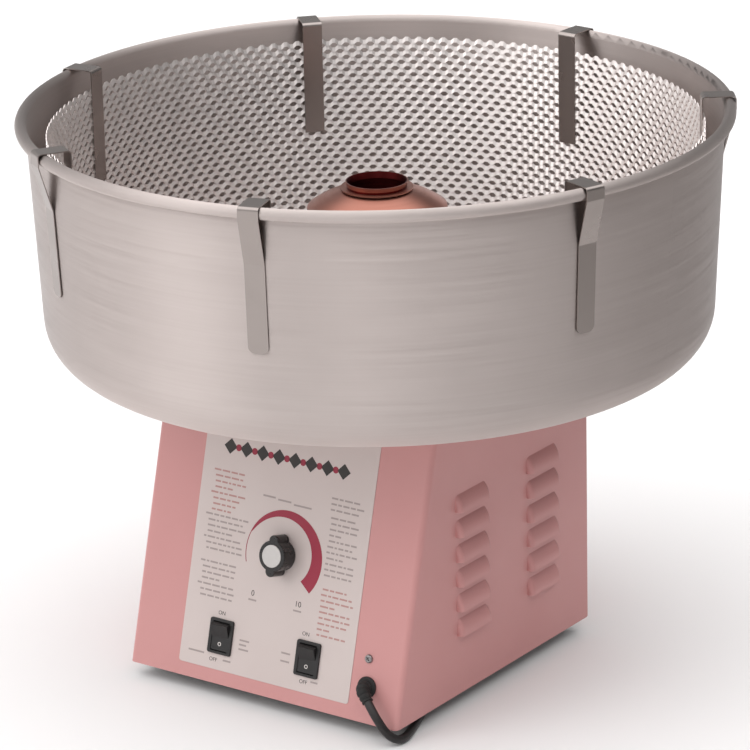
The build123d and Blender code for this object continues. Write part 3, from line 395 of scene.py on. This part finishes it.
# %% The lead as one curve
cord_curve = bpy.data.curves.new("mains_lead", "CURVE")
cord_curve.dimensions = "3D"
spline = cord_curve.splines.new("NURBS")
spline.points.add(len(route) - 1)
for control, point in zip(spline.points, route):
    control.co = (*point * MM, 1)
spline.order_u = 3
spline.use_endpoint_u = True
cord_curve.resolution_u = 8
cord_curve.bevel_depth = CORD / 2 * MM
cord_curve.bevel_resolution = 6
cord_curve.use_fill_caps = True
mains_lead = bpy.data.objects.new("mains_lead", cord_curve)
scene.collection.objects.link(mains_lead)
settle(mains_lead, "black_pvc", "base", "cord_lead", "cord_coil")
print("the lead has", len(route), "control points")


# %% [markdown]
# A loft joins a stack of closed sections into a skin. It makes the strain relief and the plug, which are
# rubber mouldings whose section changes along the way.

# %% Loft
def loft(name, rings, smooth=True):
    """A closed skin through rings that all have the same number of points, in millimetres."""
    count = len(rings[0])
    points = [point * MM for ring in rings for point in ring]
    faces = [
        (row * count + spot, row * count + (spot + 1) % count,
         (row + 1) * count + (spot + 1) % count, (row + 1) * count + spot)
        for row in range(len(rings) - 1)
        for spot in range(count)
    ]
    faces.append(tuple(reversed(range(count))))
    faces.append(tuple(range((len(rings) - 1) * count, len(rings) * count)))
    return build(name, points, faces, smooth)


# %% [markdown]
# The strain relief keeps the lead from kinking where it leaves the cabinet. It is a tapered rubber sleeve
# with a collar against the panel, and grooves moulded round it let it flex.

# %% Strain relief
COLLAR_RADIUS, SHANK_RADIUS, SLEEVE_RADIUS, TIP_RADIUS = 9.9, 6.8, 7.0, 5.2
GROOVES, GROOVE_DEPTH, GROOVE_SHARPNESS = 4, 0.9, 6
RELIEF_POINTS, SLEEVE_STEPS = 32, 44
collar_profile = [
    (-6, SHANK_RADIUS), (0.02, SHANK_RADIUS), (0.02, COLLAR_RADIUS - 0.5), (0.5, COLLAR_RADIUS),
    (1.9, COLLAR_RADIUS), (RELIEF_COLLAR, COLLAR_RADIUS - 0.7), (RELIEF_COLLAR, SLEEVE_RADIUS),
]
hinge = outward.cross(bend_side)


def section(middle, axis, radius):
    """A ring round the relief's middle line, always started on the side that the elbow turns about."""
    turns = [tau * k / RELIEF_POINTS for k in range(RELIEF_POINTS)]
    return [middle + (hinge * cos(turn) + axis.cross(hinge) * sin(turn)) * radius for turn in turns]


sections = [section(on_panel(*GLAND, out), outward, radius) for out, radius in collar_profile]
bend_length = relief_turn * RELIEF_BEND
sleeve_length = bend_length + RELIEF_TAPER
for step in range(SLEEVE_STEPS + 1):
    share = step / SLEEVE_STEPS
    angle = min(share * sleeve_length / RELIEF_BEND, relief_turn)
    past = max(share * sleeve_length - bend_length, 0)
    groove = GROOVE_DEPTH * sin(pi * GROOVES * share) ** GROOVE_SHARPNESS
    sections.append(section(
        elbow(angle) + relief_heading * past,
        outward * cos(angle) + bend_side * sin(angle),
        SLEEVE_RADIUS + (TIP_RADIUS - SLEEVE_RADIUS) * share - groove,
    ))
relief = settle(loft("strain_relief_sleeve", sections), "black_rubber", "base", "strain_relief")
print("the strain relief shows", round(RELIEF_COLLAR + COLLAR_TO_BEND + sleeve_length, 1), "mm")

# %% [markdown]
# The plug is a block of PVC moulded over its blades. Its sides pull in where a thumb and finger hold it, and
# a ribbed neck runs back over the lead. Its sections are rounded boxes, which a superellipse draws with one
# power: 2 is an ellipse and larger is squarer.

# %% Plug
plug_low, plug_high = [Vector(corner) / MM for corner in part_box("plug_body")]
plug_middle = (plug_low + plug_high) / 2
NECK, NECK_RADIUS, NECK_STEPS = 12.0, 7.4, 24
RIBS, RIB_DEPTH = 3, 0.5
ROUND, BOXY = 2, 5  # the superellipse's power on the neck and on the body
plug_half_width, plug_half_depth = (plug_high - plug_low).x / 2, (plug_high - plug_low).z / 2


def rounded_box(middle, half_width, half_height, power, count=48):
    """A superellipse across the plug's length."""
    spots = []
    for k in range(count):
        along, across = cos(tau * k / count), sin(tau * k / count)
        spots.append(middle + Vector((
            half_width * abs(along) ** (2 / power) * (1 if along > 0 else -1),
            0,
            half_height * abs(across) ** (2 / power) * (1 if across > 0 else -1),
        )))
    return spots


plug_sections = []
for step in range(NECK_STEPS + 1):
    share = step / NECK_STEPS
    rib = RIB_DEPTH * sin(pi * RIBS * share) ** 2
    radius = TIP_RADIUS + (NECK_RADIUS - TIP_RADIUS) * share - rib * (1 - share)
    plug_sections.append(rounded_box(plug_tail - Vector((0, NECK * share, 0)), radius, radius, ROUND))
body_profile = [(0, 0.86, 0.90), (0.03, 0.95, 0.97), (0.10, 1, 1), (0.24, 0.99, 1), (0.40, 0.90, 0.97),
                (0.58, 0.90, 0.97), (0.76, 0.99, 1), (0.90, 1, 1), (0.97, 0.98, 0.99), (1, 0.93, 0.95)]
plug_back, plug_front = plug_tail.y - NECK, plug_low.y
for share, width_share, depth_share in body_profile:
    middle = Vector((plug_middle.x, plug_back + (plug_front - plug_back) * share, plug_middle.z))
    plug_sections.append(rounded_box(middle, plug_half_width * width_share, plug_half_depth * depth_share, BOXY))
moulded_plug = settle(loft("moulded_plug", plug_sections), "black_pvc", "base", "plug_body")
print("the plug is", round(plug_back - plug_front, 1), "mm long without its neck")

# %% [markdown]

# %% [markdown]
# The liner catches the floss. It is expanded metal: a sheet is slit in staggered rows and pulled, so each
# strand between two rows becomes a flat zigzag that stays joined to its neighbours where it touches them.
# Drawing it that way, one closed zigzag band per row, gives real holes and real joints. The strands lean
# back 21 degrees, so that they face the ceiling a little and catch its light. The cells are 12 mm wide and
# 12.6 mm high, as the photograph shows, and the strands are drawn a little broad so that they show.

# %% Expanded mesh
CELLS_ROUND, ROW_PITCH, ZIGZAG = 157, 6.3, 1.3
STRAND_WIDTH, STRAND_THICKNESS, STRAND_TILT = 4.5, 0.8, radians(21)
JOINT_SHARE, INSET = 0.125, 0.6
mesh_low, mesh_high = [corner[2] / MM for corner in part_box("mesh_liner")]
mesh_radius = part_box("mesh_liner")[1][0] / MM - INSET
rows = int((mesh_high - mesh_low - STRAND_WIDTH - 2 * ZIGZAG) / ROW_PITCH) + 1
wave = [(-JOINT_SHARE, 1), (JOINT_SHARE, 1), (0.5 - JOINT_SHARE, -1), (0.5 + JOINT_SHARE, -1)]
broad = Vector((sin(STRAND_TILT), cos(STRAND_TILT))) * STRAND_WIDTH / 2
thin = Vector((cos(STRAND_TILT), -sin(STRAND_TILT))) * STRAND_THICKNESS / 2
strand_corners = [broad + thin, broad - thin, -broad - thin, thin - broad]

mesh_points, mesh_faces = [], []
for row in range(rows):
    first = len(mesh_points)
    middle = mesh_high - STRAND_WIDTH / 2 - ZIGZAG - row * ROW_PITCH
    for cell in range(CELLS_ROUND):
        for share, swing in wave:
            angle = tau * (cell + share) / CELLS_ROUND
            height = middle + swing * ZIGZAG * (-1) ** row
            for corner in strand_corners:
                reach = mesh_radius + corner.x
                mesh_points.append(
                    Vector((reach * cos(angle), reach * sin(angle), height + corner.y)) * MM
                )
    stations, sides = CELLS_ROUND * len(wave), len(strand_corners)
    for station in range(stations):
        here, there = first + station * sides, first + (station + 1) % stations * sides
        for corner in range(sides):
            after = (corner + 1) % sides
            mesh_faces.append((here + corner, there + corner, there + after, here + after))
expanded_mesh = build("expanded_mesh", mesh_points, mesh_faces, smooth=False)
settle(expanded_mesh, "expanded_aluminium", "bowl", "mesh_liner")
print(rows, "rows of", CELLS_ROUND, "cells")

# %% [markdown]
# The screws that show have a domed head with a cross recess. The recess is drawn as more sections of the same
# loft: in each direction its edge is the nearer of an arm's end and an arm's side.

# %% Recessed screws
HEAD_RADIUS, HEAD_HEIGHT = 4.0, 2.4
ARM_REACH, ARM_HALF, RECESS, RECESS_TAPER = 2.3, 0.55, 1.3, 0.6
SCREW_POINTS = 64
DOME = [(0, 1), (0.35, 1), (0.7, 0.93), (0.92, 0.8), (1, 0.64)]


def cross_edge(angle, reach, half):
    """How far the cross's edge is from its middle in one direction."""
    off_arm = abs((angle + pi / 4) % (pi / 2) - pi / 4)
    return min(reach / cos(off_arm), half / max(sin(off_arm), 1e-6))


def screw_head(foot, axis):
    """The sections of one head, from its rim up over the dome and down into the cross."""
    side_way = axis.orthogonal().normalized()
    other_way = axis.cross(side_way)
    turns = [tau * k / SCREW_POINTS for k in range(SCREW_POINTS)]
    edges = [(HEAD_HEIGHT * rise, [HEAD_RADIUS * share] * SCREW_POINTS) for rise, share in DOME]
    for depth, share in ((0, 1), (RECESS, RECESS_TAPER)):
        cross = [cross_edge(turn, ARM_REACH * share, ARM_HALF * share) for turn in turns]
        edges.append((HEAD_HEIGHT - depth, cross))
    return [
        [foot + axis * rise + (side_way * cos(turn) + other_way * sin(turn)) * reach
         for turn, reach in zip(turns, reaches)]
        for rise, reaches in edges
    ]


def recessed_screws(name, feet, axis, node):
    """One piece of several screw heads, in place of the CAD node's plain ones."""
    joined = bmesh.new()
    for foot in feet:
        head = loft(name, screw_head(foot, axis), smooth=False)
        joined.from_mesh(head.data)
        bpy.data.meshes.remove(head.data)
    return settle(build_from(name, joined), "zinc_plated_steel", "base", node)


EARTH = (113.0, 59.0)
recessed_screws("earth_screw_head", [on_panel(*EARTH)], outward, "earth_screw")
low_corner, high_corner = [Vector(corner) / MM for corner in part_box("rear_cover_screws")]
rear_feet = [
    Vector((side * (high_corner.x - HEAD_RADIUS), high_corner.y - HEAD_HEIGHT, height))
    for side in (-1, 0, 1)
    for height in (low_corner.z + HEAD_RADIUS, high_corner.z - HEAD_RADIUS)
]
recessed_screws("rear_screw_heads", rear_feet, Vector((0, 1, 0)), "rear_cover_screws")
print("recessed screws:", 1 + len(rear_feet))

# %% [markdown]
# The panel's print is ink on vinyl. Ink has a thickness, here 0.06 mm, so each patch is a thin closed slab
# that sits on the label. Placing them in millimetres across and up the leaning front keeps them on it from
# any side.

# %% Ink and its helpers
LABEL, INK = 0.5, 0.06
ROUND_POINTS = 28
for ink_name, shade in (("black", "#2B2523"), ("crimson", "#97213A"), ("grey", "#A19491"), ("rose", "#B58A85"),
                        ("white", "#D8D2CE")):
    finishes[ink_name] = surface(f"{ink_name}_screen_ink", (shade, shade), (0.45, 0.55), 20, 0.8, 0.005)


def slab(ink, outline, low=LABEL, high=LABEL + INK):
    """A thin closed slab over an outline of (across, up) places."""
    under = [ink.verts.new(on_panel(*place, low) * MM) for place in outline]
    over = [ink.verts.new(on_panel(*place, high) * MM) for place in outline]
    ink.faces.new(list(reversed(under)))
    ink.faces.new(over)
    for spot in range(len(outline)):
        after = (spot + 1) % len(outline)
        ink.faces.new((under[spot], under[after], over[after], over[spot]))


def bar(ink, left, low, width, height):
    """A bar, placed by its lower left corner."""
    slab(ink, [(left, low), (left + width, low), (left + width, low + height), (left, low + height)])


def disc(ink, across, up, radius, points=ROUND_POINTS):
    """A disc, or a lozenge when it has four points."""
    slab(ink, [(across + radius * cos(tau * k / points), up + radius * sin(tau * k / points))
               for k in range(points)])


def letters(ink, words, across, up, size):
    """Words in Blender's own typeface, centred on a place."""
    text = bpy.data.curves.new("letters", "FONT")
    text.body, text.size, text.extrude = words, size, INK / 2
    text.align_x, text.align_y = "CENTER", "CENTER"
    shape = bpy.data.objects.new("letters", text)
    mesh = bpy.data.meshes.new_from_object(shape)
    facing = Matrix((Vector((1, 0, 0)), up_slope, outward)).transposed().to_4x4()
    middle = on_panel(across, up, LABEL + INK / 2)
    mesh.transform(Matrix.Scale(MM, 4) @ Matrix.Translation(middle) @ facing)
    ink.from_mesh(mesh)
    bpy.data.objects.remove(shape)


def printed(name, ink, finish, body="base"):
    """Turns a patch of ink into a piece on the panel."""
    bmesh.ops.recalc_face_normals(ink, faces=ink.faces)
    patch = build_from(name, ink)
    patch.data.materials.append(finishes[finish])
    return settle(patch, "printed_label", body)


# %% [markdown]
# The heat dial is a crimson arc that swells from a hairline at low heat to a broad end at high heat.

# %% Heat dial
DIAL, DIAL_RADIUS = (6.0, 131.5), 43.0
HAIRLINE, BROAD = 0.8, 14.2
ARC_FROM, ARC_SWELL_FROM, ARC_TO, ARC_STEP = 197, 158, -40, 3
SWELL_POWER = 0.7
outer, inner = [], []
for degree in range(ARC_FROM, ARC_TO - 1, -ARC_STEP):
    swell = max(0, (ARC_SWELL_FROM - degree) / (ARC_SWELL_FROM - ARC_TO)) ** SWELL_POWER
    thickness = HAIRLINE + (BROAD - HAIRLINE) * swell
    for rail, radius in ((outer, DIAL_RADIUS), (inner, DIAL_RADIUS - thickness)):
        rail.append((DIAL[0] + radius * cos(radians(degree)), DIAL[1] + radius * sin(radians(degree))))
crimson_ink = bmesh.new()
slab(crimson_ink, outer[::-1] + inner)
print("the dial's arc has", len(outer), "steps")

# %% [markdown]
# A plain frieze runs along the top of the label: black lozenges with crimson dots between them.

# %% Frieze
FRIEZE_MIDDLE, FRIEZE_UP, FRIEZE_HALF, LOZENGES = -4, 221, 64, 8
LOZENGE, DOT = 7.4, 3.2
black_ink = bmesh.new()
step = 2 * FRIEZE_HALF / (LOZENGES - 1)
for number in range(LOZENGES):
    disc(black_ink, FRIEZE_MIDDLE - FRIEZE_HALF + number * step, FRIEZE_UP, LOZENGE, points=4)
for number in range(LOZENGES - 1):
    disc(crimson_ink, FRIEZE_MIDDLE - FRIEZE_HALF + (number + 0.5) * step, FRIEZE_UP, DOT)
printed("crimson_print", crimson_ink, "crimson")
print("the frieze's lozenges are", round(step, 1), "mm apart")

# %% Words and numbers
for words, across, up, size in (
    ("0", -22.8, 91.5, 7.5), ("10", 28.5, 91.5, 7.5), ("ON", -54.3, 66.2, 5.2), ("OFF", -58.0, 21.8, 5.2),
    ("ON", 41.4, 66.6, 5.2), ("OFF", 45.0, 22.6, 5.2),
):
    letters(black_ink, words, across, up, size)
black_print = printed("black_print", black_ink, "black")
print("black print:", len(black_print.data.polygons), "faces")

# %% [markdown]
# Two columns of small print stand beside the dial. It is too small to read, so each word is a short bar. A
# seeded generator varies the words' lengths and gives the same bars on every run.

# %% Text columns
WORD_HEIGHT, WORD_GAP, LINE_PITCH, PARAGRAPH = 1.7, 1.5, 5.3, 4
WORD_FROM, WORD_TO, WORD_LEAST = 2.5, 9, 3


def text_column(ink, generator, left, right, top, bottom, hanging=0.0):
    """Lines of word bars between two edges, with a short last line in each paragraph."""
    up, line = top, 0
    while up > bottom:
        short = line % PARAGRAPH == PARAGRAPH - 1
        across = left + (hanging if line % PARAGRAPH else 0) + generator.uniform(0, WORD_GAP)
        limit = right - (generator.uniform(14, 26) if short else generator.uniform(0, 6))
        while across < limit - WORD_LEAST:
            word = min(generator.uniform(WORD_FROM, WORD_TO), limit - across)
            bar(ink, across, up - WORD_HEIGHT, word, WORD_HEIGHT)
            across += word + WORD_GAP
        up -= LINE_PITCH
        line += 1


words = random.Random(5)
rose_ink, grey_ink = bmesh.new(), bmesh.new()
text_column(rose_ink, words, -84, -44, 198, 160, 3)
text_column(grey_ink, words, -87, -36, 156, 120, 4)
text_column(grey_ink, words, -87, -41, 112, 80, 4)
text_column(grey_ink, words, 50, 88, 196, 184)
text_column(grey_ink, words, 52, 88, 178, 122)
text_column(rose_ink, words, 52, 90, 112, 66)
for left, low, width in ((-25, 182.5, 14), (-8, 181.5, 15), (10, 180, 20), (-27, 84.5, 9), (24, 84.5, 9),
                         (-87, 25, 18), (-47, 22.2, 9), (-31, 45, 11), (-31, 36.5, 11), (-31, 40.8, 8),
                         (17, 43.5, 10), (17, 36, 10), (53, 23.6, 8)):
    bar(grey_ink, left, low, width, WORD_HEIGHT)
for name, ink in (("rose", rose_ink), ("grey", grey_ink)):
    print(name, "print:", len(printed(f"{name}_print", ink, name).data.polygons), "faces")

# %% [markdown]
# Each rocker has a small white ring moulded into its lower half, the usual mark for off.

# %% Rocker marks
ROCKER_FACE, MARK_UP, MARK_RADIUS, MARK_LINE = 2.0, 37.5, 1.9, 0.7


def ring_of_ink(ink, across, up, radius, line, low):
    """A closed ring: four circles, joined each to the next and the last to the first."""
    turns = [tau * k / ROUND_POINTS for k in range(ROUND_POINTS)]
    hoops = [
        [ink.verts.new(on_panel(across + reach * cos(turn), up + reach * sin(turn), out) * MM) for turn in turns]
        for reach, out in ((radius, low), (radius, low + INK), (radius - line, low + INK), (radius - line, low))
    ]
    for hoop, inward in zip(hoops, hoops[1:] + hoops[:1]):
        for k in range(ROUND_POINTS):
            after = (k + 1) % ROUND_POINTS
            ink.faces.new((hoop[k], hoop[after], inward[after], inward[k]))


for switch, across in (("power", -52.0), ("heat", 47.0)):
    mark = bmesh.new()
    ring_of_ink(mark, across, MARK_UP, MARK_RADIUS, MARK_LINE, ROCKER_FACE)
    printed(f"{switch}_rocker_mark", mark, "white", f"{switch}_switch")
    print("marked the", switch, "rocker")

# %% [markdown]
# The studio is a room with a window. Its floor is pale where the machine stands. Further to the right its colour
# is painted to a light grey, a painted shade for the light falling off away from the window, and the bowl's right
# side mirrors that painted shade.

# %% Floor
FLOOR_NEAR, FLOOR_PAINTED_SHADE = "#F1F0F0", "#A3A1A0"
GREY_FROM, GREY_TO = 0.4, 1.25  # metres to the right of the spin axis
FLOOR_RADIUS = 60
bpy.ops.mesh.primitive_circle_add(vertices=96, radius=FLOOR_RADIUS, fill_type="NGON")
floor = bpy.context.object
floor.name = "floor"
floor_material, floor_tree, floor_shader, floor_place = start_material("pale_floor_with_painted_shade", Roughness=0.9,
                                                                       Specular_IOR_Level=0.0)
# the floor's colour goes grey to the right: a painted shade for light falling off away from the window
rightward = add(floor_tree, "VectorMath", {0: floor_place, 1: level}, operation="DOT_PRODUCT")
painted_falloff = add(floor_tree, "MapRange", {"Value": rightward.outputs["Value"], "From Min": GREY_FROM,
                                       "From Max": GREY_TO}, interpolation_type="SMOOTHSTEP")
floor_with_painted_shade = add(floor_tree, "Mix", {"Factor": painted_falloff.outputs["Result"], COLOUR_A: paint(FLOOR_NEAR),
                                     COLOUR_B: paint(FLOOR_PAINTED_SHADE)}, data_type="RGBA")
floor_tree.links.new(floor_with_painted_shade.outputs[MIXED], floor_shader.inputs["Base Color"])
floor.data.materials.append(floor_material)
print("the floor starts to turn grey", GREY_FROM, "m to the right")

# %% [markdown]
# The world is a ring of light round the horizon: bright at the front left, where the window is, with a narrow
# pane in front, and dim at the right. A ceiling closes it overhead. Metal shows what stands round it, so this
# ring is what shades the bowl. Its bearings are in degrees from the camera's own, and left is negative.

# %% World
ROOM = [(-180, 0.30), (-140, 0.60), (-100, 0.95), (-74, 1.35), (-57, 1.15), (-43, 0.60), (-28, 0.50), (-17, 0.56),
        (-8, 1.15), (1, 0.56), (12, 0.34), (38, 0.20), (112, 0.20), (150, 0.30), (180, 0.30)]
CEILING, CEILING_FROM, CEILING_FULL = 2.0, 0.5, 0.85

world = bpy.data.worlds.new("studio")
world.use_nodes = True
scene.world = world
sky = world.node_tree
look = add(sky, "TexCoord").outputs["Generated"]
behind = radians(CAMERA_AZIMUTH)
rightward_look, camera_look = [
    add(sky, "VectorMath", {0: look, 1: (*direction, 0)}, operation="DOT_PRODUCT").outputs["Value"]
    for direction in ((cos(behind), sin(behind)), (sin(behind), -cos(behind)))
]
bearing = add(sky, "Math", {0: rightward_look, 1: camera_look}, operation="ARCTAN2")
round_room = add(sky, "MapRange", {"Value": bearing.outputs["Value"], "From Min": -pi, "From Max": pi})
room = add(sky, "ValToRGB", {"Fac": round_room.outputs["Result"]})
stops = room.color_ramp.elements
while len(stops) < len(ROOM):
    stops.new(0.5)
for stop, (turn, glow) in zip(stops, ROOM):
    stop.position = (turn + 180) / 360
    stop.color = (glow, glow, glow, 1)
room.color_ramp.interpolation = "B_SPLINE"
lift = add(sky, "SeparateXYZ", {"Vector": look}).outputs["Z"]
overhead = add(sky, "MapRange", {"Value": lift, "From Min": CEILING_FROM, "From Max": CEILING_FULL},
               interpolation_type="SMOOTHSTEP")
dome = add(sky, "Mix", {"Factor": overhead.outputs["Result"], COLOUR_A: room.outputs["Color"],
                        COLOUR_B: (CEILING, CEILING, CEILING, 1)}, data_type="RGBA")
sky.links.new(dome.outputs[MIXED], sky.nodes["Background"].inputs["Color"])
sky.nodes["Background"].inputs["Strength"].default_value = 1.0
print("the ring of light has", len(ROOM), "stops")

# %% [markdown]
# One soft sun comes in through the window. It gives the machine its shadow and lights the front of the cabinet.

# %% Window sun
SUN_TURN, SUN_LIFT, SUN_SPREAD, SUN_STRENGTH = radians(-72), radians(34), radians(34), 0.35
azimuth = radians(CAMERA_AZIMUTH) + SUN_TURN
lamp = bpy.data.lights.new("window", "SUN")
lamp.energy = SUN_STRENGTH
lamp.angle = SUN_SPREAD
window = bpy.data.objects.new("window", lamp)
scene.collection.objects.link(window)
source = Vector((sin(azimuth) * cos(SUN_LIFT), -cos(azimuth) * cos(SUN_LIFT), sin(SUN_LIFT)))
window.rotation_mode = "QUATERNION"
window.rotation_quaternion = source.to_track_quat("Z", "Y")
scene.view_settings.view_transform = "Standard"
print("the sun stands", round(degrees(SUN_LIFT)), "degrees above the horizon")
